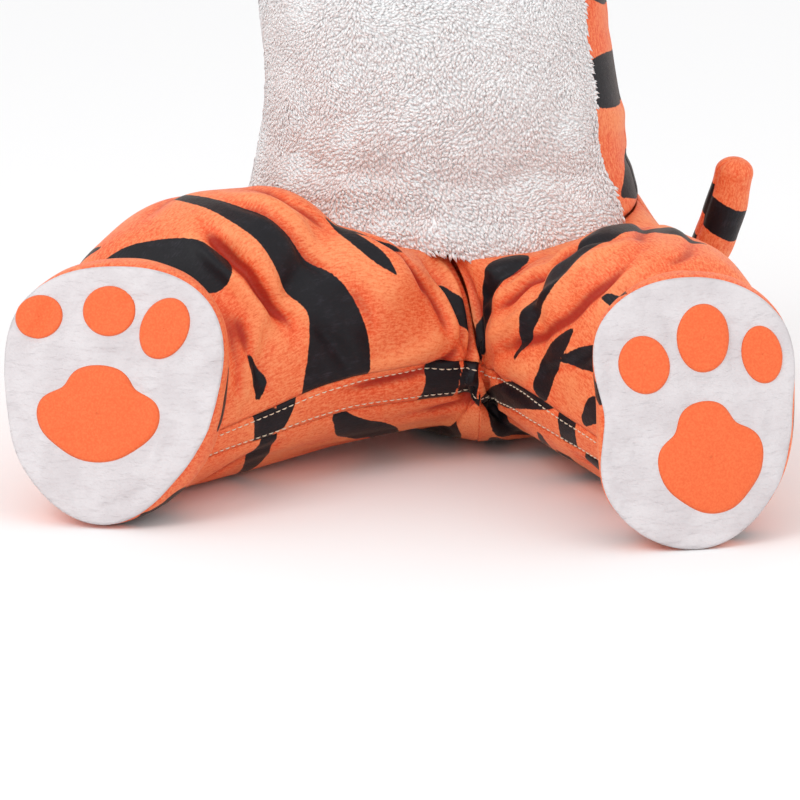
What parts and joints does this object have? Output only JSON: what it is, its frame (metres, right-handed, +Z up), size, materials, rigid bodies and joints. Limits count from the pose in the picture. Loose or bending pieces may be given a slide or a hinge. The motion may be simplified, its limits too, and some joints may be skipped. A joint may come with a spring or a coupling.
{
  "type": "baby tiger costume",
  "caption": "Baby tiger costume: a footed striped velour jumpsuit with a white plush tummy panel, white paw soles with orange pads and a stuffed striped tail, in a sitting pose.",
  "frame": {"origin": "centre of the neck opening at the shoulder line, where the wearer's shoulders hold the garment up", "axes": "+Z up out of the neck, -Y to the garment's front, +X to the wearer's left"},
  "size_m": [0.5013, 0.4415, 0.4397],
  "materials": {
    "striped_velour": "soft sheen velour with black stripes",
    "white_plush": "long pile plush",
    "white_satin": "soft satin",
    "paw_pad_velour": "smooth velour"
  },
  "bodies": {
    "root": {"torso_front": "striped_velour", "torso_back_left": "striped_velour", "torso_back_right": "striped_velour", "back_placket": "striped_velour", "neck_binding": "striped_velour", "sleeve_left": "striped_velour", "sleeve_right": "striped_velour", "tummy_panel": "white_plush", "leg_front_right": "striped_velour", "inseam_band_right": "striped_velour", "leg_back_right": "striped_velour", "foot_right": "striped_velour", "sole_right": "white_satin", "toe_pad_1_right": "paw_pad_velour", "toe_pad_2_right": "paw_pad_velour", "toe_pad_3_right": "paw_pad_velour", "heel_pad_right": "paw_pad_velour", "leg_front_left": "striped_velour", "inseam_band_left": "striped_velour", "leg_back_left": "striped_velour", "foot_left": "striped_velour", "sole_left": "white_satin", "toe_pad_1_left": "paw_pad_velour", "toe_pad_2_left": "paw_pad_velour", "toe_pad_3_left": "paw_pad_velour", "heel_pad_left": "paw_pad_velour", "tail": "striped_velour"}
  },
  "joints": []
}
